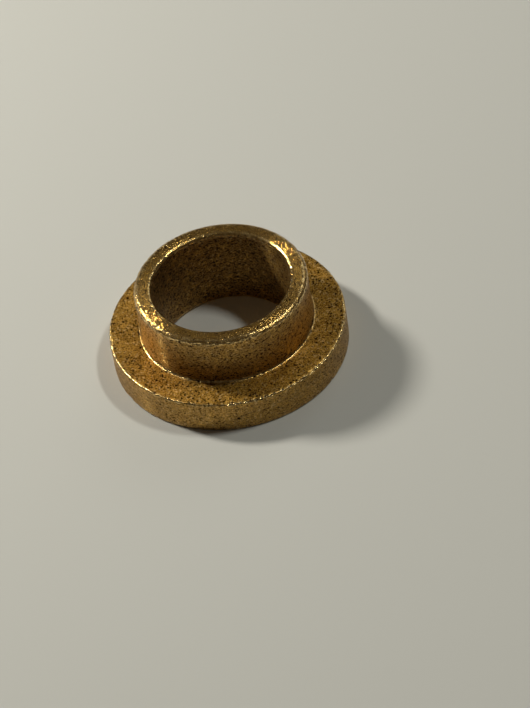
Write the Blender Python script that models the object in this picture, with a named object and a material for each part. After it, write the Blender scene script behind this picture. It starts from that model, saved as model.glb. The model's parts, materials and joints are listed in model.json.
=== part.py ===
"""Flanged sleeve bushing in sintered bronze.

The bushing is a single pressed and sintered piece: a short plain sleeve with a thick round flange at
its lower end. It is a body of revolution. The origin is the centre of the flange's underside, and +Z
runs along the bore towards the sleeve's free end. All sizes are in metres.
"""

from math import cos, hypot, pi, radians, sin

import bmesh
import bpy

MM = 0.001

# Driving dimensions
BORE_DIAMETER = 12.7 * MM
SLEEVE_DIAMETER = 16.0 * MM
FLANGE_DIAMETER = 22.0 * MM
FLANGE_THICKNESS = 3.25 * MM
OVERALL_LENGTH = 8.2 * MM

# Edge breaks, each measured along both of the faces that meet at the edge
BORE_CHAMFER = 0.22 * MM
SLEEVE_CHAMFER = 0.34 * MM
ROOT_FILLET = 0.25 * MM
FLANGE_TOP_ROUND = 0.22 * MM
FLANGE_BOTTOM_ROUND = 0.18 * MM

# How finely the round shapes are divided
SPIN_STEPS = 96
CHAMFER_STEPS = 1
FILLET_STEPS = 4
MERGE_DISTANCE = 0.001 * MM
SHARP_ANGLE = radians(30)

# Sintered tin bronze
BRONZE_COLOUR = (0.42, 0.25, 0.085, 1.0)
BRONZE_ROUGHNESS = 0.38
BRONZE_METALLIC = 1.0


def clear_scene():
    for obj in list(bpy.data.objects):
        bpy.data.objects.remove(obj, do_unlink=True)


def bronze_material():
    material = bpy.data.materials.new("sintered_bronze")
    material.use_nodes = True
    shader = material.node_tree.nodes["Principled BSDF"]
    shader.inputs["Base Color"].default_value = BRONZE_COLOUR
    shader.inputs["Roughness"].default_value = BRONZE_ROUGHNESS
    shader.inputs["Metallic"].default_value = BRONZE_METALLIC
    return material


def unit_towards(start, end):
    length = hypot(end[0] - start[0], end[1] - start[1])
    return (end[0] - start[0]) / length, (end[1] - start[1]) / length


def eased_corner(before, corner, after, ease, steps):
    """Points that take the place of a square corner: a chamfer with one step, else a tangent arc.

    The arc's centre lies one ease from both faces, and the arc sweeps a quarter turn between them.
    """
    back = unit_towards(corner, before)
    ahead = unit_towards(corner, after)
    points = []
    for step in range(steps + 1):
        turn = step / steps * pi / 2
        along_back = ease * (1 - sin(turn))
        along_ahead = ease * (1 - cos(turn))
        points.append(
            (
                corner[0] + back[0] * along_back + ahead[0] * along_ahead,
                corner[1] + back[1] * along_back + ahead[1] * along_ahead,
            )
        )
    return points


def bushing_outline():
    """Half of the lengthwise section, as (radius, height) points, once round its closed outline."""
    bore = BORE_DIAMETER / 2
    sleeve = SLEEVE_DIAMETER / 2
    flange = FLANGE_DIAMETER / 2
    corners = [
        (bore, 0, BORE_CHAMFER, CHAMFER_STEPS),
        (bore, OVERALL_LENGTH, BORE_CHAMFER, CHAMFER_STEPS),
        (sleeve, OVERALL_LENGTH, SLEEVE_CHAMFER, CHAMFER_STEPS),
        (sleeve, FLANGE_THICKNESS, ROOT_FILLET, FILLET_STEPS),
        (flange, FLANGE_THICKNESS, FLANGE_TOP_ROUND, FILLET_STEPS),
        (flange, 0, FLANGE_BOTTOM_ROUND, FILLET_STEPS),
    ]
    outline = []
    for index, (radius, height, ease, steps) in enumerate(corners):
        before = corners[index - 1][:2]
        after = corners[(index + 1) % len(corners)][:2]
        outline += eased_corner(before, (radius, height), after, ease, steps)
    return outline


def spun_mesh(name, outline):
    """The closed outline spun a full turn about Z, with its first and last sections merged."""
    mesh_builder = bmesh.new()
    ring = [mesh_builder.verts.new((radius, 0, height)) for radius, height in outline]
    edges = [
        mesh_builder.edges.new((ring[index - 1], ring[index])) for index in range(len(ring))
    ]
    bmesh.ops.spin(
        mesh_builder,
        geom=ring + edges,
        cent=(0, 0, 0),
        axis=(0, 0, 1),
        angle=2 * pi,
        steps=SPIN_STEPS,
    )
    bmesh.ops.remove_doubles(mesh_builder, verts=mesh_builder.verts, dist=MERGE_DISTANCE)
    bmesh.ops.recalc_face_normals(mesh_builder, faces=mesh_builder.faces)
    mesh = bpy.data.meshes.new(name)
    mesh_builder.to_mesh(mesh)
    mesh_builder.free()
    mesh.shade_smooth()
    mesh.set_sharp_from_angle(angle=SHARP_ANGLE)
    return mesh


def make_flanged_bushing():
    mesh = spun_mesh("flanged_bushing", bushing_outline())
    mesh.materials.append(bronze_material())
    bushing = bpy.data.objects.new("flanged_bushing", mesh)
    bpy.context.collection.objects.link(bushing)
    return bushing


def main():
    clear_scene()
    make_flanged_bushing()


main()
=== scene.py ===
"""Looks for the flanged sintered-bronze sleeve bushing: its fine surface, its bronze, and the stage."""

import json
import math

import bpy
import numpy as np
from mathutils import Matrix, Vector


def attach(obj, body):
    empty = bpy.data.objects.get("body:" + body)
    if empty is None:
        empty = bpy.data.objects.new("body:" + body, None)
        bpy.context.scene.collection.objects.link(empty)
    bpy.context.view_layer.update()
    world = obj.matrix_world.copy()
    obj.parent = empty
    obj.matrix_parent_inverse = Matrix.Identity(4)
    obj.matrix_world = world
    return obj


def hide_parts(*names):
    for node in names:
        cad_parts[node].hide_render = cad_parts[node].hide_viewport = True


bl_info = {
    "name": "Flanged Bronze Bushing",
    "version": (1, 0, 0),
    "blender": (4, 5, 0),
    "location": "View3D > Sidebar > Bushing",
    "description": "Builds a flanged sleeve bushing in sintered bronze, and a plain studio round it",
    "category": "Object",
}

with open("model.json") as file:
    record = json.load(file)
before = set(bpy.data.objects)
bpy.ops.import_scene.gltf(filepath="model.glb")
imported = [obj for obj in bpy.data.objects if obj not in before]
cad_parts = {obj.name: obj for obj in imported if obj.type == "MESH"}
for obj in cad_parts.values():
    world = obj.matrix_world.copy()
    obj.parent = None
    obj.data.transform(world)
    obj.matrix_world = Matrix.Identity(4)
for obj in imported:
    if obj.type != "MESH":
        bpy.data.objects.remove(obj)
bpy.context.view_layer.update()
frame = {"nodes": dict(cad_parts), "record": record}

MM = 0.001
TURN = 2 * math.pi
NODE = "flanged_bushing"


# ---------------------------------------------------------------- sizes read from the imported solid

# How close to a wall a vertex lies that is on it, and a height over the seat that clears the fillet.
ON_WALL = 0.005 * MM
OVER_FILLET = 0.5 * MM


def solid_sizes():
    """The solid's driving sizes, in metres, read from the radius and height of its vertices."""
    mesh = frame["nodes"][NODE].data
    points = np.empty(len(mesh.vertices) * 3, np.float32)
    mesh.vertices.foreach_get("co", points)
    points = points.reshape(-1, 3).astype(float)
    radius = np.hypot(points[:, 0], points[:, 1])
    height = points[:, 2]
    seat = next(m["pos_m"][2] for m in frame["record"]["mounts"] if m["name"] == "flange_seat")
    bore = radius.min()
    flange = radius.max()
    length = height.max()
    sleeve = radius[height > seat + OVER_FILLET].max()
    on_bore = height[radius < bore + ON_WALL]
    on_rim = height[radius > flange - ON_WALL]
    on_sleeve = height[(abs(radius - sleeve) < ON_WALL) & (height > seat)]
    return {
        "bore": bore,
        "sleeve": sleeve,
        "flange": flange,
        "seat": seat,
        "length": length,
        "bore_chamfer": length - on_bore.max(),
        "root_fillet": on_sleeve.min() - seat,
        "flange_bottom_round": on_rim.min(),
    }


SIZES = solid_sizes()


# ---------------------------------------------------------------- settings a user would change


class BushingShapeSettings(bpy.types.PropertyGroup):
    """How finely the bushing is divided, and how its edges are rounded and worn."""

    angle_steps: bpy.props.IntProperty(
        name="Steps round", description="Divisions round the axis", default=960, min=64
    )
    flat_step: bpy.props.FloatProperty(
        name="Flat step",
        description="Mean step along a straight stretch of the section, finer near its ends",
        default=0.60 * MM,
        unit="LENGTH",
        precision=5,
    )
    end_chamfer_width: bpy.props.FloatProperty(
        name="End chamfer width",
        description="How far in from the wall the chamfer of the sleeve's end starts",
        default=0.31 * MM,
        unit="LENGTH",
        precision=5,
    )
    end_chamfer_height: bpy.props.FloatProperty(
        name="End chamfer height",
        description="How far down the wall the chamfer of the sleeve's end reaches",
        default=0.21 * MM,
        unit="LENGTH",
        precision=5,
    )
    end_rounding: bpy.props.FloatProperty(
        name="End rounding",
        description="Radius that eases both edges of that chamfer",
        default=0.22 * MM,
        unit="LENGTH",
        precision=5,
    )
    mouth_rounding: bpy.props.FloatProperty(
        name="Mouth rounding",
        description="Radius that eases the sleeve's end face into the bore's chamfer",
        default=0.30 * MM,
        unit="LENGTH",
        precision=5,
    )
    small_rounding: bpy.props.FloatProperty(
        name="Small rounding",
        description="Radius of the remaining edges of the bore's chamfers",
        default=0.12 * MM,
        unit="LENGTH",
        precision=5,
    )
    rim_rounding: bpy.props.FloatProperty(
        name="Rim rounding",
        description="Radius of the edge between the flange's seat and its rim",
        default=0.16 * MM,
        unit="LENGTH",
        precision=5,
    )
    nick_depth: bpy.props.FloatProperty(
        name="Nick depth",
        description="Depth of the deepest nicks along the edges",
        default=0.085 * MM,
        unit="LENGTH",
        precision=5,
    )
    edge_ripple: bpy.props.FloatProperty(
        name="Edge ripple",
        description="Unevenness of the edges between the nicks",
        default=0.012 * MM,
        unit="LENGTH",
        precision=5,
    )
    seed: bpy.props.IntProperty(name="Seed", description="Seed of the nicks' places", default=7)


class BushingBronzeSettings(bpy.types.PropertyGroup):
    """Colours and grain of the sintered bronze."""

    metal: bpy.props.FloatVectorProperty(
        name="Metal",
        description="Colour of the bronze between its pores",
        subtype="COLOR",
        size=4,
        min=0,
        max=1,
        default=(0.75, 0.43, 0.087, 1),
    )
    # Also the darker tone of the bore, where it is oil stain and painted shade of the hollow.
    tarnish: bpy.props.FloatVectorProperty(
        name="Tarnish",
        description="Colour of the darker, oil-stained patches",
        subtype="COLOR",
        size=4,
        min=0,
        max=1,
        default=(0.21, 0.095, 0.010, 1),
    )
    # Rubbed edges are real wear, but this colour is made pale so that it also paints the edges' highlights;
    # it is the colour of the painted glint on grains too.
    bright: bpy.props.FloatVectorProperty(
        name="Worn metal and painted glint",
        description="Colour of rubbed edges and of grains that catch the light",
        subtype="COLOR",
        size=4,
        min=0,
        max=1,
        default=(0.95, 0.69, 0.31, 1),
    )
    dull: bpy.props.FloatVectorProperty(
        name="Dull metal",
        description="Colour of the greyer skin on surfaces that are handled",
        subtype="COLOR",
        size=4,
        min=0,
        max=1,
        default=(0.50, 0.335, 0.14, 1),
    )
    pore: bpy.props.FloatVectorProperty(
        name="Pore",
        description="Colour seen inside an open pore",
        subtype="COLOR",
        size=4,
        min=0,
        max=1,
        default=(0.020, 0.008, 0.003, 1),
    )
    pore_spacing: bpy.props.FloatProperty(
        name="Pore spacing",
        description="Size of the cells that each may hold one large pore",
        default=0.34 * MM,
        unit="LENGTH",
        precision=5,
    )
    grain_size: bpy.props.FloatProperty(
        name="Grain size",
        description="Size of the powder grains that show as a fine mottle",
        default=0.13 * MM,
        unit="LENGTH",
        precision=5,
    )
    streak_length: bpy.props.FloatProperty(
        name="Streak length",
        description="Length of the rubbing streaks round the upright walls",
        default=0.90 * MM,
        unit="LENGTH",
        precision=5,
    )
    ring_pitch: bpy.props.FloatProperty(
        name="Ring pitch",
        description="Distance from one turning groove to the next on the end faces and chamfers",
        default=0.05 * MM,
        unit="LENGTH",
        precision=5,
    )
    ring_run: bpy.props.FloatProperty(
        name="Ring run",
        description="How far a turning groove runs on before it fades",
        default=0.35 * MM,
        unit="LENGTH",
        precision=5,
    )
    relief: bpy.props.FloatProperty(
        name="Relief",
        description="Depth of a pore in the fine relief",
        default=0.025 * MM,
        unit="LENGTH",
        precision=6,
    )
    edge_film: bpy.props.FloatProperty(
        name="Edge film",
        description="Clear film of oil on the rubbed edges",
        default=0.25,
        min=0,
        max=1,
        subtype="FACTOR",
    )
    film_roughness: bpy.props.FloatProperty(
        name="Film roughness",
        description="Roughness of that film",
        default=0.25,
        min=0,
        max=1,
        subtype="FACTOR",
    )


class BushingStageSettings(bpy.types.PropertyGroup):
    """Floor, lights and camera."""

    floor_colour: bpy.props.FloatVectorProperty(
        name="Floor",
        description="Colour of the plain floor",
        subtype="COLOR",
        size=4,
        min=0,
        max=1,
        default=(0.62, 0.61, 0.58, 1),
    )
    floor_side: bpy.props.FloatProperty(
        name="Floor side", description="Side of the square floor", default=3.0, unit="LENGTH"
    )
    lens: bpy.props.FloatProperty(
        name="Lens",
        description="Focal length in millimetres, for a sensor with a long side of 36 mm",
        default=157.9,
        unit="CAMERA",
    )
    elevation: bpy.props.FloatProperty(
        name="Elevation",
        description="Height of the camera above the floor's plane, as an angle",
        default=math.radians(44.2),
        subtype="ANGLE",
        unit="ROTATION",
    )
    roll: bpy.props.FloatProperty(
        name="Roll",
        description="Turn of the camera about its own view line",
        default=math.radians(-9.62),
        subtype="ANGLE",
        unit="ROTATION",
    )
    distance: bpy.props.FloatProperty(
        name="Distance",
        description="From the camera to the point that it aims at",
        default=0.2887,
        unit="LENGTH",
        precision=5,
    )


# ---------------------------------------------------------------- the section of the bushing

# Each stretch of the section starts at one corner and runs to the next: a name, then how open its
# pores are, how dull its skin is, how oily and dark it is, how coarse its grain stands, and how deep
# its turning rings are, each 0 to 1. The mesh carries them as attributes. In the bore the dark of
# the third number is oil stain and painted shade of the hollow.
STRETCH_ATTRIBUTES = ("openness", "dull", "oil_and_shade", "coarse", "turned")
STRETCHES = (
    # The bore's third number, 0.70, darkens the whole bore: oil stain and painted shade of the hollow.
    ("bore", 1.0, 0.35, 0.70, 0.60, 0.0),
    ("bore_top_chamfer", 0.25, 0.3, 0.4, 0.1, 0.4),
    ("end_face", 0.45, 0.30, 0.15, 0.15, 1.0),
    ("end_chamfer", 0.30, 0.6, 0.25, 0.45, 0.4),
    ("sleeve_wall", 0.95, 0.50, 0.40, 0.20, 0.0),
    ("seat", 0.75, 0.0, 0.15, 1.0, 0.0),
    ("rim", 0.65, 0.50, 0.20, 0.6, 0.0),
    ("underside", 0.6, 0.5, 0.4, 0.5, 0.6),
    ("bore_bottom_chamfer", 0.2, 0.3, 0.4, 0.3, 0.4),
)
# Steps of the arc at each kind of corner, and how far along the section an edge's wear reaches.
ARC_STEPS = {"small": 3, "mouth": 6, "end": 6, "edge": 7, "fillet": 6}
EDGE_REACH = 0.22 * MM


def section_corners(shape):
    """Corners of half the lengthwise section: (radius, height, rounding radius, steps of its arc).

    They go up the bore, out over the sleeve's end, down the sleeve, out over the flange's seat, down
    its rim and back in under it. Corner k starts stretch k of STRETCHES.
    """
    s = SIZES
    small = (shape.small_rounding, ARC_STEPS["small"])
    end = (shape.end_rounding, ARC_STEPS["end"])
    return (
        (s["bore"], s["bore_chamfer"], *small),
        (s["bore"], s["length"] - s["bore_chamfer"], *small),
        (s["bore"] + s["bore_chamfer"], s["length"], shape.mouth_rounding, ARC_STEPS["mouth"]),
        (s["sleeve"] - shape.end_chamfer_width, s["length"], *end),
        (s["sleeve"], s["length"] - shape.end_chamfer_height, *end),
        (s["sleeve"], s["seat"], s["root_fillet"], ARC_STEPS["fillet"]),
        (s["flange"], s["seat"], shape.rim_rounding, ARC_STEPS["edge"]),
        (s["flange"], 0.0, s["flange_bottom_round"], ARC_STEPS["edge"]),
        (s["bore"] + s["bore_chamfer"], 0.0, *small),
    )


def rounded_corner(before, corner, after, radius, steps):
    """The arc that takes a corner's place, as (points, tangents) of steps + 1 stations.

    With t1 and t2 the directions into and out of the corner, a their angle and m the unit normal of
    t1 on the side it turns to, the arc starts radius * tan(a / 2) before the corner and runs through
    start + radius * (sin(x) * t1 + (1 - cos(x)) * m) for x from 0 to a.
    """
    into = (corner - before) / np.linalg.norm(corner - before)
    out = (after - corner) / np.linalg.norm(after - corner)
    side = np.sign(into[0] * out[1] - into[1] * out[0])
    angle = math.acos(np.clip(into @ out, -1, 1))
    towards = side * np.array([-into[1], into[0]])
    start = corner - into * radius * math.tan(angle / 2)
    x = np.linspace(0, angle, steps + 1)[:, None]
    points = start + radius * (np.sin(x) * into + (1 - np.cos(x)) * towards)
    return points, np.cos(x) * into + np.sin(x) * towards


def section(shape):
    """The closed section as arrays, one entry a station.

    point and normal are (radius, height) pairs, travel is the distance along the section, and stretch
    is a running number that is k along stretch k and goes from k - 0.75 to k - 0.25 round corner k.
    corner_travel gives the distance at the middle of each corner. Of the n steps along a stretch, step
    i ends at the share (1 - cos(pi * i / n)) / 2 of it, so that steps are finer near its ends.
    """
    corners = section_corners(shape)
    count = len(corners)
    places = np.array([c[:2] for c in corners])
    arcs = [
        rounded_corner(places[k - 1], places[k], places[(k + 1) % count], *corners[k][2:])
        for k in range(count)
    ]
    points, tangents, stretch = [], [], []
    for k, (arc, tangent) in enumerate(arcs):
        points.append(arc)
        tangents.append(tangent)
        stretch.append(np.linspace(k - 0.75, k - 0.25, len(arc)))
        following = arcs[(k + 1) % count][0][0]
        gap = following - arc[-1]
        steps = max(2, math.ceil(np.linalg.norm(gap) / shape.flat_step))
        share = (1 - np.cos(math.pi * np.arange(1, steps) / steps))[:, None] / 2
        points.append(arc[-1] + share * gap)
        tangents.append(np.repeat(tangent[-1:], steps - 1, axis=0))
        stretch.append(np.full(steps - 1, float(k)))
    point = np.concatenate(points)
    tangent = np.concatenate(tangents)
    stretch = np.concatenate(stretch)
    travel = np.concatenate([[0], np.cumsum(np.linalg.norm(np.diff(point, axis=0), axis=1))])
    first = np.cumsum([0] + [len(points[2 * k]) + len(points[2 * k + 1]) for k in range(count)])
    middle = [travel[first[k] + (len(arcs[k][0]) - 1) // 2] for k in range(count)]
    normal = np.stack([-tangent[:, 1], tangent[:, 0]], axis=1)
    return {
        "point": point,
        "normal": normal,
        "travel": travel,
        "stretch": stretch,
        "corner_travel": np.array(middle),
    }


# ---------------------------------------------------------------- wear of the edges

# Where edges are nicked: the corner's number, how many nicks, the middle and spread of their places
# round the axis in degrees, their widest half width along the edge, and their depth and ripple as
# shares of the settings. A spread of over a turn puts them evenly round.
NICKED_EDGES = (
    (1, 34, 0, 400, 0.30 * MM, 0.45, 0.5),
    (2, 24, 0, 400, 0.25 * MM, 0.30, 0.5),
    (3, 60, 0, 400, 0.26 * MM, 0.40, 0.5),
    (4, 90, 0, 400, 0.24 * MM, 0.60, 0.8),
    (4, 60, -75, 35, 0.22 * MM, 0.90, 0.3),
    (6, 100, 0, 400, 0.24 * MM, 0.60, 0.9),
    (6, 90, -55, 22, 0.22 * MM, 1.30, 0.4),
    (7, 80, 0, 400, 0.30 * MM, 0.60, 1.0),
)
# Half height of a nick across its edge. As shares of it: how far a nick lies off the middle of its
# edge at most, and the half height of the ripple.
NICK_REACH = 0.11 * MM
NICK_SHIFT = 0.5
RIPPLE_REACH = 1.3
# The ripple's slowest and fastest waves, in cycles a turn.
RIPPLE_WAVES = (12, 260)
# A nick's share of the widest half width, and its share of the depth: the least even draw, and the
# power that draws are raised to, so that narrow and shallow nicks are common.
WIDTH_DRAW = (0.25, 2)
DEPTH_DRAW = (0.15, 1.5)


def periodic_noise(random, angle, lowest, highest):
    """Noise round a circle: a sum of cosines with whole numbers of waves a turn and random phases.

    A wave's weight is random and falls as one over the root of its number. The spread of the sum is 1.
    """
    orders = np.arange(lowest, highest)
    phases = random.uniform(0, TURN, len(orders))
    weights = random.normal(0, 1, len(orders)) / np.sqrt(orders)
    wave = np.cos(angle[:, None] * orders + phases) @ weights
    return wave / wave.std()


def skewed_draw(random, least, power, count):
    """Even draws from least to 1, each raised to a power."""
    return random.uniform(least, 1.0, count) ** power


def edge_relief(shape, outline, angle):
    """Depth of metal lost at each (station, angle), in metres, never below zero.

    A nick is depth * exp(-(arc / width)^2) round the edge times exp(-(travel / reach)^2) across it.
    The ripple is the positive half of periodic noise times such a profile with a longer reach.
    """
    random = np.random.default_rng(shape.seed)
    relief = np.zeros((len(outline["travel"]), len(angle)))
    length = outline["travel"][-1]
    for corner, count, middle, spread, width, depth, ripple in NICKED_EDGES:
        radius = section_corners(shape)[corner][0]
        place = outline["corner_travel"][corner]
        gap = (outline["travel"] - place + length / 2) % length - length / 2
        where = np.radians(random.normal(middle, spread, count))
        half_width = width * skewed_draw(random, *WIDTH_DRAW, count)
        deep = shape.nick_depth * depth * skewed_draw(random, *DEPTH_DRAW, count)
        shift = random.uniform(-NICK_SHIFT, NICK_SHIFT, count) * NICK_REACH
        arc = ((angle - where[:, None] + math.pi) % TURN - math.pi) * radius
        along = np.exp(-((arc / half_width[:, None]) ** 2))
        across = np.exp(-(((gap - shift[:, None]) / NICK_REACH) ** 2))
        relief += (deep[:, None] * across).T @ along
        noise = periodic_noise(random, angle, *RIPPLE_WAVES)
        band = np.exp(-((gap / (RIPPLE_REACH * NICK_REACH)) ** 2))
        relief += shape.edge_ripple * ripple * band[:, None] * np.clip(noise, 0, None)
    return relief


# ---------------------------------------------------------------- the body's mesh


def stretch_values(outline, column):
    """One column of STRETCHES at each station, blended round each corner into the next stretch's."""
    values = np.array([row[column] for row in STRETCHES])
    number = outline["stretch"]
    low = np.floor(number).astype(int)
    share = number - low
    return values[low % len(values)] * (1 - share) + values[(low + 1) % len(values)] * share


def edge_closeness(outline):
    """exp(-(gap / EDGE_REACH)^2), with gap the distance along the section to the nearest corner."""
    length = outline["travel"][-1]
    gap = outline["travel"][:, None] - outline["corner_travel"]
    gap = abs((gap + length / 2) % length - length / 2)
    return np.exp(-((gap.min(axis=1) / EDGE_REACH) ** 2))


def grid_faces(rows, columns):
    """Quads of a grid that is closed both ways, with their normals out of the solid."""
    row, column = np.meshgrid(np.arange(rows), np.arange(columns), indexing="ij")
    below = (row + 1) % rows
    beside = (column + 1) % columns
    return np.stack(
        [
            row * columns + column,
            below * columns + column,
            below * columns + beside,
            row * columns + beside,
        ],
        axis=-1,
    ).reshape(-1, 4)


def grid_uvs(outline, columns):
    """UVs of the same quads: the turn round the axis, and the distance along the section."""
    travel = outline["travel"]
    step = np.linalg.norm(outline["point"][0] - outline["point"][-1])
    v = np.append(travel, travel[-1] + step) / (travel[-1] + step)
    u = np.arange(columns + 1) / columns
    row, column = np.meshgrid(np.arange(len(travel)), np.arange(columns), indexing="ij")
    u_corners = np.stack([u[column], u[column], u[column + 1], u[column + 1]], axis=-1)
    v_corners = np.stack([v[row], v[row + 1], v[row + 1], v[row]], axis=-1)
    return np.stack([u_corners, v_corners], axis=-1).reshape(-1, 2)


def add_float_attribute(mesh, name, values):
    """A named number on each vertex."""
    attribute = mesh.attributes.new(name, "FLOAT", "POINT")
    attribute.data.foreach_set("value", np.ascontiguousarray(values, np.float32).ravel())


def bushing_mesh(shape):
    """The body as a surface of two parameters, the angle round the axis and the travel along the section.

    Its point is (r cos a, r sin a, z), with (r, z) the section's point less its normal times the relief.
    """
    outline = section(shape)
    columns = shape.angle_steps
    angle = np.arange(columns) * TURN / columns
    relief = edge_relief(shape, outline, angle)
    radius = outline["point"][:, :1] - outline["normal"][:, :1] * relief
    height = outline["point"][:, 1:] - outline["normal"][:, 1:] * relief
    points = np.stack([radius * np.cos(angle), radius * np.sin(angle), height], axis=-1)
    rows = len(outline["travel"])
    mesh = bpy.data.meshes.new("bushing_body")
    mesh.from_pydata(points.reshape(-1, 3), [], grid_faces(rows, columns))
    uv_map = mesh.uv_layers.new(name="UVMap")
    uv_map.uv.foreach_set("vector", grid_uvs(outline, columns).astype(np.float32).ravel())
    round_about = np.ones(columns)
    for column, name in enumerate(STRETCH_ATTRIBUTES, start=1):
        add_float_attribute(mesh, name, stretch_values(outline, column)[:, None] * round_about)
    add_float_attribute(mesh, "edge", edge_closeness(outline)[:, None] * round_about)
    add_float_attribute(mesh, "nicked", relief / shape.nick_depth)
    mesh.validate()
    mesh.shade_smooth()
    return mesh


# ---------------------------------------------------------------- node helpers


def new_group(name, inputs, outputs):
    """An empty shader node group, with its input node's outputs and its output node's inputs.

    inputs are (name, kind, default) and outputs are (name, kind).
    """
    group = bpy.data.node_groups.new(name, "ShaderNodeTree")
    for label, kind, default in inputs:
        socket = group.interface.new_socket(label, in_out="INPUT", socket_type="NodeSocket" + kind)
        if default is not None:
            socket.default_value = default
    for label, kind in outputs:
        group.interface.new_socket(label, in_out="OUTPUT", socket_type="NodeSocket" + kind)
    given = group.nodes.new("NodeGroupInput").outputs
    return group, given, group.nodes.new("NodeGroupOutput").inputs


def connect(tree, value, socket):
    """Links an output to the socket, or sets the socket to a plain value."""
    if isinstance(value, bpy.types.NodeSocket):
        tree.links.new(value, socket)
    else:
        socket.default_value = value


def maths(tree, operation, *values):
    """One of Blender's Math operations on plain values or outputs."""
    node = tree.nodes.new("ShaderNodeMath")
    node.operation = operation
    for value, socket in zip(values, node.inputs):
        connect(tree, value, socket)
    return node.outputs[0]


def remap(tree, value, low, high, to_low=0.0, to_high=1.0, smooth=False):
    """Takes low to to_low and high to to_high, evenly or with eased ends, and holds those beyond."""
    node = tree.nodes.new("ShaderNodeMapRange")
    node.interpolation_type = "SMOOTHSTEP" if smooth else "LINEAR"
    for item, socket in zip((value, low, high, to_low, to_high), node.inputs):
        connect(tree, item, socket)
    return node.outputs[0]


# The Mix node's sockets for numbers and for colours: its share, A, B and result.
MIX_SOCKETS = {"FLOAT": (0, 2, 3, 0), "RGBA": (0, 6, 7, 2)}


def mix(tree, kind, share, a, b):
    """Goes from a to b, two numbers (FLOAT) or two colours (RGBA), as share goes from 0 to 1."""
    node = tree.nodes.new("ShaderNodeMix")
    node.data_type = kind
    *places, result = MIX_SOCKETS[kind]
    for place, item in zip(places, (share, a, b)):
        connect(tree, item, node.inputs[place])
    return node.outputs[result]


def noise(tree, vector, scale, detail=2.0, roughness=0.5):
    """Smooth noise that keeps near 0.5, with detail as its number of finer layers."""
    node = tree.nodes.new("ShaderNodeTexNoise")
    names = ("Vector", "Scale", "Detail", "Roughness")
    for item, name in zip((vector, scale, detail, roughness), names):
        connect(tree, item, node.inputs[name])
    return node.outputs[0]


def object_place(tree):
    """Object coordinates, in metres."""
    return tree.nodes.new("ShaderNodeTexCoord").outputs["Object"]


def attribute(tree, name):
    """A number that the mesh carries under this name."""
    node = tree.nodes.new("ShaderNodeAttribute")
    node.attribute_name = name
    return node.outputs["Fac"]


def use_group(tree, group, **values):
    """Places a group, with each input given by its name in lower case with underscores."""
    node = tree.nodes.new("ShaderNodeGroup")
    node.node_tree = group
    for name, value in values.items():
        connect(tree, value, node.inputs[name.replace("_", " ").capitalize()])
    return node.outputs


# ---------------------------------------------------------------- shared effects

# Pores: how much wider than high they are, how many times finer than a cell the noise is that makes
# their outline ragged, and the smallest pore's share of Size.
PORE_FLATNESS = 1.7
PORE_PUSH_SCALE = 3.1
SMALLEST_PORE = 0.5

# Grain: scales of its cloud, its drift and its grains with painted glint, as shares of the grain's own
# scale, and the share of grains without painted glint.
CLOUD_SCALE = 0.22
DRIFT_SCALE = 0.06
PAINTED_GLINT_SCALE = 0.8
PLAIN_GRAINS = 0.8

# Edge wear: noise scales, per metre, of its patches, its dents and the stretches where dents are
# deep; how much nicks and patches add to the closeness to an edge; the sums where wear starts and
# where it is full; and the depth left to the dents between the deep stretches.
PATCH_SCALE = 2600.0
DENT_SCALE = 4500.0
DENT_STRETCH_SCALE = 500.0
NICK_SHARE = 0.5
PATCH_SHARE = 2.6
WEAR_START = 0.65
WEAR_FULL = 1.35
SHALLOW_DENTS = 0.15

# Rubbing streaks: how many times longer than high they are.
STREAK_FLATNESS = 7.0

# Layers and roughness of each kind of noise.
GRAIN_NOISE = {"detail": 3.0, "roughness": 0.6}
CLOUD_NOISE = {"detail": 3.0}
PATCH_NOISE = {"detail": 4.0, "roughness": 0.65}
DENT_NOISE = {"detail": 3.0, "roughness": 0.6}
STREAK_NOISE = {"detail": 4.0, "roughness": 0.6}
RING_NOISE = {"detail": 1.0}

# How far either side of 0.5 each kind of noise is taken to go, when it is stretched to 0 to 1.
GRAIN_SPREAD = 0.2
DENT_SPREAD = 0.15
DENT_STRETCH_SPREAD = 0.12
STREAK_SPREAD = 0.18


def spread_out(tree, value, reach):
    """Takes 0.5 - reach to 0 and 0.5 + reach to 1, because noise keeps near 0.5."""
    return remap(tree, value, 0.5 - reach, 0.5 + reach)


def squeezed_place(tree, flatness):
    """Object coordinates with Z multiplied, so that a pattern laid on them is flatter along Z."""
    squeeze = tree.nodes.new("ShaderNodeMapping")
    squeeze.inputs["Scale"].default_value = (1, 1, flatness)
    connect(tree, object_place(tree), squeeze.inputs["Vector"])
    return squeeze.outputs[0]


def pushed_place(tree, place, scale, reach):
    """Coordinates moved each by noise of its own, by up to half of reach either way."""
    push = tree.nodes.new("ShaderNodeTexNoise")
    connect(tree, place, push.inputs["Vector"])
    connect(tree, scale, push.inputs["Scale"])
    centred = tree.nodes.new("ShaderNodeVectorMath")
    centred.operation = "SUBTRACT"
    connect(tree, push.outputs["Color"], centred.inputs[0])
    centred.inputs[1].default_value = (0.5, 0.5, 0.5)
    scaled = tree.nodes.new("ShaderNodeVectorMath")
    scaled.operation = "SCALE"
    connect(tree, centred.outputs[0], scaled.inputs[0])
    connect(tree, reach, scaled.inputs["Scale"])
    pushed = tree.nodes.new("ShaderNodeVectorMath")
    connect(tree, place, pushed.inputs[0])
    connect(tree, scaled.outputs[0], pushed.inputs[1])
    return pushed.outputs[0]


def cell_numbers(tree, place, scale):
    """Voronoi cells: the distance to the cell's point, and two random numbers that the cell keeps."""
    cells = tree.nodes.new("ShaderNodeTexVoronoi")
    connect(tree, place, cells.inputs["Vector"])
    connect(tree, scale, cells.inputs["Scale"])
    numbers = tree.nodes.new("ShaderNodeSeparateColor")
    connect(tree, cells.outputs["Color"], numbers.inputs[0])
    return cells.outputs["Distance"], numbers.outputs[0], numbers.outputs[1]


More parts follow.
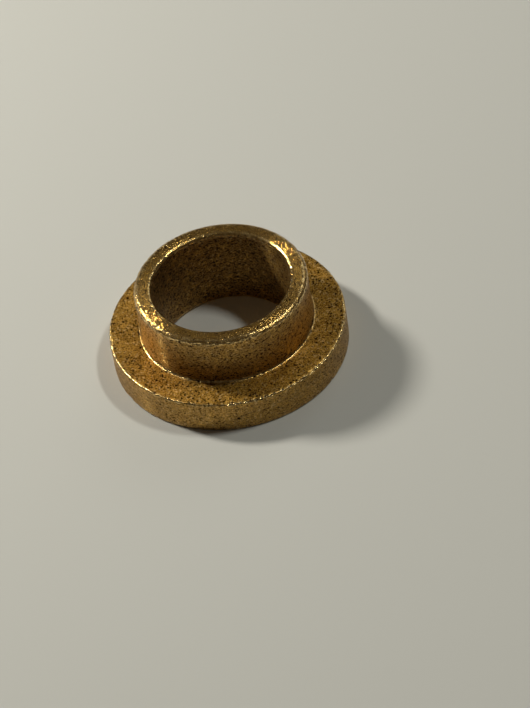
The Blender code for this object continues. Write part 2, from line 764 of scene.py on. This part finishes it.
def pores_group():
    """Open pores: dark hollows of uneven size and ragged outline, from the cells of a Voronoi pattern.

    A cell holds a pore where the distance to its point, pushed about by noise, is under a radius that
    is Size times a share drawn for the cell, and only in the share of cells that Amount lets through.
    """
    tree, given, out = new_group(
        "open pores",
        [
            ("Spacing", "Float", 0.0004),
            ("Size", "Float", 0.35),
            ("Amount", "Float", 0.5),
            ("Ragged", "Float", 0.3),
            ("Softness", "Float", 0.12),
        ],
        [("Pore", "Float")],
    )
    place = squeezed_place(tree, PORE_FLATNESS)
    scale = maths(tree, "DIVIDE", 1.0, given["Spacing"])
    push_scale = maths(tree, "MULTIPLY", scale, PORE_PUSH_SCALE)
    reach = maths(tree, "MULTIPLY", given["Ragged"], given["Spacing"])
    distance, size_draw, kept_draw = cell_numbers(tree, pushed_place(tree, place, push_scale, reach), scale)
    share = remap(tree, size_draw, 0.0, 1.0, SMALLEST_PORE, 1.0)
    kept = maths(tree, "LESS_THAN", kept_draw, given["Amount"])
    radius = maths(tree, "MULTIPLY", maths(tree, "MULTIPLY", given["Size"], share), kept)
    inside = maths(tree, "SUBTRACT", radius, distance)
    connect(tree, remap(tree, inside, 0.0, given["Softness"], smooth=True), out["Pore"])
    return tree


def grain_group():
    """Powder grain, four patterns from 0 to 1, from fine to slow.

    Painted glint is above 0 on a few single grains, a painted highlight of grains that catch the light.
    Grain is a fine mottle, Cloud is a mottle some five times coarser, and Drift is a slow change of tone.
    """
    tree, given, out = new_group(
        "powder grain",
        [("Size", "Float", 0.0001)],
        [("Painted glint", "Float"), ("Grain", "Float"), ("Cloud", "Float"), ("Drift", "Float")],
    )
    place = object_place(tree)
    scale = maths(tree, "DIVIDE", 1.0, given["Size"])
    fine = noise(tree, place, scale, **GRAIN_NOISE)
    connect(tree, spread_out(tree, fine, GRAIN_SPREAD), out["Grain"])
    cloud = noise(tree, place, maths(tree, "MULTIPLY", scale, CLOUD_SCALE), **CLOUD_NOISE)
    connect(tree, spread_out(tree, cloud, GRAIN_SPREAD), out["Cloud"])
    drift = noise(tree, place, maths(tree, "MULTIPLY", scale, DRIFT_SCALE), **CLOUD_NOISE)
    connect(tree, spread_out(tree, drift, GRAIN_SPREAD), out["Drift"])
    draw = cell_numbers(tree, place, maths(tree, "MULTIPLY", scale, PAINTED_GLINT_SCALE))[1]
    connect(tree, remap(tree, draw, PLAIN_GRAINS, 1.0), out["Painted glint"])
    return tree


def edge_wear_group():
    """Edge wear: closeness to an edge, plus its nicks, broken up by noise into worn and unworn patches.

    Dent is a fine unevenness of the edges, which comes and goes with a slower noise.
    """
    tree, given, out = new_group(
        "edge wear",
        [("Edge", "Float", 0.0), ("Nicked", "Float", 0.0)],
        [("Wear", "Float"), ("Dent", "Float")],
    )
    place = object_place(tree)
    worn = maths(tree, "ADD", given["Edge"], maths(tree, "MULTIPLY", given["Nicked"], NICK_SHARE))
    patches = maths(tree, "SUBTRACT", noise(tree, place, PATCH_SCALE, **PATCH_NOISE), 0.5)
    worn = maths(tree, "ADD", worn, maths(tree, "MULTIPLY", patches, PATCH_SHARE))
    connect(tree, remap(tree, worn, WEAR_START, WEAR_FULL, smooth=True), out["Wear"])
    dents = spread_out(tree, noise(tree, place, DENT_SCALE, **DENT_NOISE), DENT_SPREAD)
    deep = spread_out(tree, noise(tree, place, DENT_STRETCH_SCALE), DENT_STRETCH_SPREAD)
    dents = maths(tree, "MULTIPLY", dents, remap(tree, deep, 0.0, 1.0, SHALLOW_DENTS, 1.0))
    connect(tree, maths(tree, "MULTIPLY", dents, given["Edge"]), out["Dent"])
    return tree


def streaks_group():
    """Rubbing streaks: noise squeezed along Z, so that on upright walls it runs round the axis."""
    tree, given, out = new_group("rubbing streaks", [("Length", "Float", 0.001)], [("Streak", "Float")])
    scale = maths(tree, "DIVIDE", 1.0, given["Length"])
    wave = noise(tree, squeezed_place(tree, STREAK_FLATNESS), scale, **STREAK_NOISE)
    connect(tree, spread_out(tree, wave, STREAK_SPREAD), out["Streak"])
    return tree


def turning_rings_group():
    """Turning rings: fine uneven grooves round the axis, each running on for a little way.

    It is noise whose first coordinate is the distance from the axis over Pitch, and whose other two
    are X and Y over the longer Run.
    """
    tree, given, out = new_group(
        "turning rings", [("Pitch", "Float", 0.00008), ("Run", "Float", 0.0015)], [("Ring", "Float")]
    )
    place = tree.nodes.new("ShaderNodeSeparateXYZ")
    connect(tree, object_place(tree), place.inputs[0])
    x, y = place.outputs[0], place.outputs[1]
    square = maths(tree, "ADD", maths(tree, "MULTIPLY", x, x), maths(tree, "MULTIPLY", y, y))
    grooves = tree.nodes.new("ShaderNodeCombineXYZ")
    connect(tree, maths(tree, "DIVIDE", maths(tree, "SQRT", square), given["Pitch"]), grooves.inputs[0])
    connect(tree, maths(tree, "DIVIDE", x, given["Run"]), grooves.inputs[1])
    connect(tree, maths(tree, "DIVIDE", y, given["Run"]), grooves.inputs[2])
    connect(tree, noise(tree, grooves.outputs[0], 1.0, **RING_NOISE), out["Ring"])
    return tree


# ---------------------------------------------------------------- the bronze

# The two kinds of pore, each from the least open skin to the most: the widest radius in cells. Then
# their ragged and soft outlines, and the small ones' spacing and depth as shares of the large ones'.
LARGE_PORE_SIZE = (0.29, 0.44)
SMALL_PORE_SIZE = (0.40, 0.52)
PORE_RAGGEDNESS = 1.0
LARGE_PORE_SOFTNESS = 0.04
SMALL_PORE_SOFTNESS = 0.08
SMALL_PORE_SPACING = 0.45
SMALL_PORE_DEPTH = 0.9

# Values on the finest and on the coarsest skin: contrast of the mottle, share of the pale metal colour
# painted on a glinting grain as painted glint, roughness, and height of the grain's hills.
MOTTLE = (1.2, 1.45)
PAINTED_GLINT_SHARE = (0.25, 0.45)
ROUGHNESS = (0.27, 0.52)
HILLS = (0.08, 0.6)

# Tone: what drift and streaks add to the mottle, the sums that stand for clean metal and for full
# tarnish, and the least and most that the dull skin covers.
DRIFT_TONE = 0.2
STREAK_TONE = 0.5
CLEAN = 0.3
TARNISHED = 1.3
DULL_COVER = (0.4, 0.8)

# Gloss: what grain adds to the roughness and turning takes from it, the roughness of worn metal and
# of pores, how polished an unworn edge is, and what oil and turning take from the metallic share.
GRAIN_ROUGHNESS = 0.12
TURNED_GLOSS = 0.10
WORN_ROUGHNESS = 0.14
EDGE_POLISH = 0.6
PORE_ROUGHNESS = 0.85
OIL_CLOUDING = 0.2
TURNED_CLOUDING = 0.09

# Relief: heights of the dents and of the turning rings, with a pore's depth as 1.
DENT_HEIGHT = 0.35
RING_HEIGHT = 1.7


def bronze_skin(tree, bronze):
    """The body's attributes, and the shared effects' values, that the bronze is made from."""
    names = ("openness", "dull", "oil_and_shade", "coarse", "turned", "edge", "nicked")
    skin = {name: attribute(tree, name) for name in names}
    pores = pores_group()
    large = use_group(
        tree,
        pores,
        spacing=bronze.pore_spacing,
        size=remap(tree, skin["openness"], 0.0, 1.0, *LARGE_PORE_SIZE),
        amount=skin["openness"],
        ragged=PORE_RAGGEDNESS,
        softness=LARGE_PORE_SOFTNESS,
    )
    small = use_group(
        tree,
        pores,
        spacing=bronze.pore_spacing * SMALL_PORE_SPACING,
        size=remap(tree, skin["openness"], 0.0, 1.0, *SMALL_PORE_SIZE),
        amount=skin["openness"],
        ragged=PORE_RAGGEDNESS,
        softness=SMALL_PORE_SOFTNESS,
    )
    shallow = maths(tree, "MULTIPLY", small["Pore"], SMALL_PORE_DEPTH)
    skin["pore"] = maths(tree, "MAXIMUM", large["Pore"], shallow)
    skin["grain"] = use_group(tree, grain_group(), size=bronze.grain_size)
    skin["worn"] = use_group(tree, edge_wear_group(), edge=skin["edge"], nicked=skin["nicked"])
    skin["streak"] = use_group(tree, streaks_group(), length=bronze.streak_length)["Streak"]
    rings = use_group(tree, turning_rings_group(), pitch=bronze.ring_pitch, run=bronze.ring_run)
    skin["ring"] = maths(tree, "MULTIPLY", rings["Ring"], skin["turned"])
    return skin


def bronze_colour(tree, bronze, skin):
    """Metal that goes to tarnish with the mottle, then to dull skin, to wear and painted glint, and to
    pores.
    """
    grain = skin["grain"]
    contrast = remap(tree, skin["coarse"], 0.0, 1.0, *MOTTLE)
    tone = maths(tree, "MULTIPLY", maths(tree, "SUBTRACT", 1.0, grain["Grain"]), contrast)
    tone = maths(tree, "ADD", tone, maths(tree, "MULTIPLY", grain["Drift"], DRIFT_TONE))
    # Oil darkens the tone; in the bore, where the value is highest, it is also painted shade of the hollow.
    tone = maths(tree, "ADD", tone, maths(tree, "MULTIPLY", skin["oil_and_shade"], grain["Cloud"]))
    streak = maths(tree, "SUBTRACT", skin["streak"], 0.5)
    tone = maths(tree, "ADD", tone, maths(tree, "MULTIPLY", streak, STREAK_TONE))
    tarnish = remap(tree, tone, CLEAN, TARNISHED)
    colour = mix(tree, "RGBA", tarnish, tuple(bronze.metal), tuple(bronze.tarnish))
    cover = maths(tree, "MULTIPLY", skin["dull"], remap(tree, grain["Cloud"], 0.0, 1.0, *DULL_COVER))
    colour = mix(tree, "RGBA", cover, colour, tuple(bronze.dull))
    # Painted glint: a few random grains are painted the pale metal colour as a painted highlight.
    painted_glint = maths(tree, "MULTIPLY", grain["Painted glint"], remap(tree, skin["coarse"], 0.0, 1.0, *PAINTED_GLINT_SHARE))
    # Worn edges, whose pale colour is partly painted highlight, and the painted glint of single grains.
    bright = maths(tree, "MAXIMUM", skin["worn"]["Wear"], painted_glint)
    colour = mix(tree, "RGBA", bright, colour, tuple(bronze.bright))
    return mix(tree, "RGBA", skin["pore"], colour, tuple(bronze.pore))


def bronze_roughness(tree, skin):
    """Rougher where coarse and between the grains, glossier where turned or rubbed, dull in pores."""
    rough = remap(tree, skin["coarse"], 0.0, 1.0, *ROUGHNESS)
    grain = maths(tree, "SUBTRACT", 0.5, skin["grain"]["Grain"])
    rough = maths(tree, "ADD", rough, maths(tree, "MULTIPLY", grain, GRAIN_ROUGHNESS))
    rough = maths(tree, "SUBTRACT", rough, maths(tree, "MULTIPLY", skin["turned"], TURNED_GLOSS))
    polish = maths(tree, "MULTIPLY", skin["edge"], EDGE_POLISH)
    rough = mix(tree, "FLOAT", maths(tree, "MAXIMUM", skin["worn"]["Wear"], polish), rough, WORN_ROUGHNESS)
    return mix(tree, "FLOAT", skin["pore"], rough, PORE_ROUGHNESS)


def bronze_height(tree, skin):
    """Hills of the grain and grooves of the turning, less the pores and the dents of the edges."""
    hills = remap(tree, skin["coarse"], 0.0, 1.0, *HILLS)
    height = maths(tree, "MULTIPLY", skin["grain"]["Grain"], hills)
    height = maths(tree, "SUBTRACT", height, skin["pore"])
    height = maths(tree, "SUBTRACT", height, maths(tree, "MULTIPLY", skin["worn"]["Dent"], DENT_HEIGHT))
    return maths(tree, "ADD", height, maths(tree, "MULTIPLY", skin["ring"], RING_HEIGHT))


def bronze_material(bronze):
    """Sintered bronze: mottled metal with open pores; darker where oil-stained, in the bore also painted
    shade; brighter on rubbed edges, whose pale colour also paints highlight; painted glint on a few grains.
    """
    material = bpy.data.materials.new("sintered_bronze")
    material.use_nodes = True
    tree = material.node_tree
    shader = tree.nodes["Principled BSDF"]
    skin = bronze_skin(tree, bronze)
    connect(tree, bronze_colour(tree, bronze, skin), shader.inputs["Base Color"])
    connect(tree, bronze_roughness(tree, skin), shader.inputs["Roughness"])
    turned_clouding = maths(tree, "MULTIPLY", skin["turned"], TURNED_CLOUDING)
    clouding = maths(tree, "MULTIPLY", skin["oil_and_shade"], OIL_CLOUDING)
    clouding = maths(tree, "MAXIMUM", clouding, turned_clouding)
    connect(tree, maths(tree, "SUBTRACT", 1.0, clouding), shader.inputs["Metallic"])
    connect(tree, maths(tree, "MULTIPLY", skin["edge"], bronze.edge_film), shader.inputs["Coat Weight"])
    shader.inputs["Coat Roughness"].default_value = bronze.film_roughness
    bump = tree.nodes.new("ShaderNodeBump")
    bump.inputs["Distance"].default_value = bronze.relief
    connect(tree, bronze_height(tree, skin), bump.inputs["Height"])
    connect(tree, bump.outputs["Normal"], shader.inputs["Normal"])
    return material


# ---------------------------------------------------------------- stage

# The point that the camera aims at, in metres: beside the bushing's axis and just under the floor.
CAMERA_AIM = Vector((0.00293, -0.00093, -0.00096))
# The sensor's long side in millimetres, and the nearest thing that the camera sees, in metres.
SENSOR_SIDE = 36.0
NEAREST_SEEN = 0.01
FLOOR_ROUGHNESS = 0.9
# Soft boxes: name, direction from the bushing as azimuth (from +X) and elevation in degrees,
# distance, width and height in metres, strength in watts and colour.
SOFT_BOXES = (
    ("key_window", 144.5, 39.5, 0.30, 0.042, 0.050, 0.66, (1.0, 0.975, 0.87)),
    ("side_window", 8.0, 61.5, 1.20, 0.27, 0.10, 3.9, (0.97, 1.0, 0.92)),
    ("back_fill", 58.0, 35.0, 1.20, 0.70, 0.50, 1.0, (0.97, 1.0, 0.95)),
)
ROOM_LIGHT = (0.046, 0.038, 0.028, 1.0)
BACKDROP = (0.42, 0.42, 0.41, 1.0)


def pointing(direction, roll=0.0):
    """Rotation that turns an object's -Z to a direction and its +Y up, then rolls it about that line."""
    return direction.to_track_quat("-Z", "Y").to_matrix() @ Matrix.Rotation(roll, 3, "Z")


def make_floor(stage):
    """A square plain floor at height zero, round the bushing's axis."""
    half = stage.floor_side / 2
    mesh = bpy.data.meshes.new("floor")
    corners = [(-half, -half, 0), (half, -half, 0), (half, half, 0), (-half, half, 0)]
    mesh.from_pydata(corners, [], [(0, 1, 2, 3)])
    material = bpy.data.materials.new("plain_floor")
    material.use_nodes = True
    shader = material.node_tree.nodes["Principled BSDF"]
    shader.inputs["Base Color"].default_value = stage.floor_colour
    shader.inputs["Roughness"].default_value = FLOOR_ROUGHNESS
    mesh.materials.append(material)
    floor = bpy.data.objects.new("floor", mesh)
    bpy.context.scene.collection.objects.link(floor)


def make_soft_box(name, azimuth, elevation, distance, width, tall, power, colour):
    """An oval lamp that points at the bushing's foot from the given direction and distance."""
    across, up = math.radians(azimuth), math.radians(elevation)
    direction = Vector((math.cos(up) * math.cos(across), math.cos(up) * math.sin(across), math.sin(up)))
    light = bpy.data.lights.new(name, "AREA")
    light.shape = "ELLIPSE"
    light.size = width
    light.size_y = tall
    light.energy = power
    light.color = colour
    lamp = bpy.data.objects.new(name, light)
    lamp.matrix_world = Matrix.Translation(direction * distance) @ pointing(-direction).to_4x4()
    bpy.context.scene.collection.objects.link(lamp)


def make_world():
    """A dim even room light, and a plain pale backdrop that only the camera sees."""
    world = bpy.data.worlds.new("studio")
    world.use_nodes = True
    tree = world.node_tree
    room = tree.nodes["Background"]
    room.inputs["Color"].default_value = ROOM_LIGHT
    backdrop = tree.nodes.new("ShaderNodeBackground")
    backdrop.inputs["Color"].default_value = BACKDROP
    mix = tree.nodes.new("ShaderNodeMixShader")
    connect(tree, tree.nodes.new("ShaderNodeLightPath").outputs["Is Camera Ray"], mix.inputs[0])
    connect(tree, room.outputs[0], mix.inputs[1])
    connect(tree, backdrop.outputs[0], mix.inputs[2])
    connect(tree, mix.outputs[0], tree.nodes["World Output"].inputs["Surface"])
    bpy.context.scene.world = world


def make_camera(stage):
    """A camera that looks along +Y and down, from its elevation, and is rolled about its view line."""
    forward = Vector((0, math.cos(stage.elevation), -math.sin(stage.elevation)))
    data = bpy.data.cameras.new("camera")
    data.sensor_width = SENSOR_SIDE
    data.lens = stage.lens
    data.clip_start = NEAREST_SEEN
    camera = bpy.data.objects.new("camera", data)
    place = Matrix.Translation(CAMERA_AIM - forward * stage.distance)
    camera.matrix_world = place @ pointing(forward, stage.roll).to_4x4()
    bpy.context.scene.collection.objects.link(camera)
    bpy.context.scene.camera = camera


# ---------------------------------------------------------------- operators and panel


class BUSHING_OT_body(bpy.types.Operator):
    """Build the bushing's body, worn edges and all, in place of the plain solid."""

    bl_idname = "bushing.body"
    bl_label = "Bushing body"

    def execute(self, context):
        scene = context.scene
        mesh = bushing_mesh(scene.bushing_shape)
        mesh.materials.append(bronze_material(scene.bushing_bronze))
        body = bpy.data.objects.new("bushing_body", mesh)
        scene.collection.objects.link(body)
        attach(body, "root")
        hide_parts(NODE)
        return {"FINISHED"}


class BUSHING_OT_stage(bpy.types.Operator):
    """Build the plain floor, the soft lights and the camera."""

    bl_idname = "bushing.stage"
    bl_label = "Stage"

    def execute(self, context):
        stage = context.scene.bushing_stage
        make_floor(stage)
        for soft_box in SOFT_BOXES:
            make_soft_box(*soft_box)
        make_world()
        make_camera(stage)
        context.scene.view_settings.view_transform = "Standard"
        return {"FINISHED"}


# Properties that Blender adds to every group by itself.
BLENDERS_OWN = ("rna_type", "name")


class BUSHING_PT_panel(bpy.types.Panel):
    """Lists the settings, and the buttons for the body and the stage, in the 3D view's sidebar."""

    bl_label = "Flanged bushing"
    bl_space_type = "VIEW_3D"
    bl_region_type = "UI"
    bl_category = "Bushing"

    def draw(self, context):
        for settings in ("bushing_shape", "bushing_bronze", "bushing_stage"):
            box = self.layout.box()
            group = getattr(context.scene, settings)
            for name in group.bl_rna.properties.keys():
                if name not in BLENDERS_OWN:
                    box.prop(group, name)
        self.layout.operator(BUSHING_OT_body.bl_idname)
        self.layout.operator(BUSHING_OT_stage.bl_idname)


CLASSES = (
    BushingShapeSettings,
    BushingBronzeSettings,
    BushingStageSettings,
    BUSHING_OT_body,
    BUSHING_OT_stage,
    BUSHING_PT_panel,
)


def register():
    for item in CLASSES:
        bpy.utils.register_class(item)
    bpy.types.Scene.bushing_shape = bpy.props.PointerProperty(type=BushingShapeSettings)
    bpy.types.Scene.bushing_bronze = bpy.props.PointerProperty(type=BushingBronzeSettings)
    bpy.types.Scene.bushing_stage = bpy.props.PointerProperty(type=BushingStageSettings)


def unregister():
    del bpy.types.Scene.bushing_stage
    del bpy.types.Scene.bushing_bronze
    del bpy.types.Scene.bushing_shape
    for item in reversed(CLASSES):
        bpy.utils.unregister_class(item)


def main():
    register()
    bpy.ops.bushing.body()
    bpy.ops.bushing.stage()


if __name__ == "__main__":
    main()
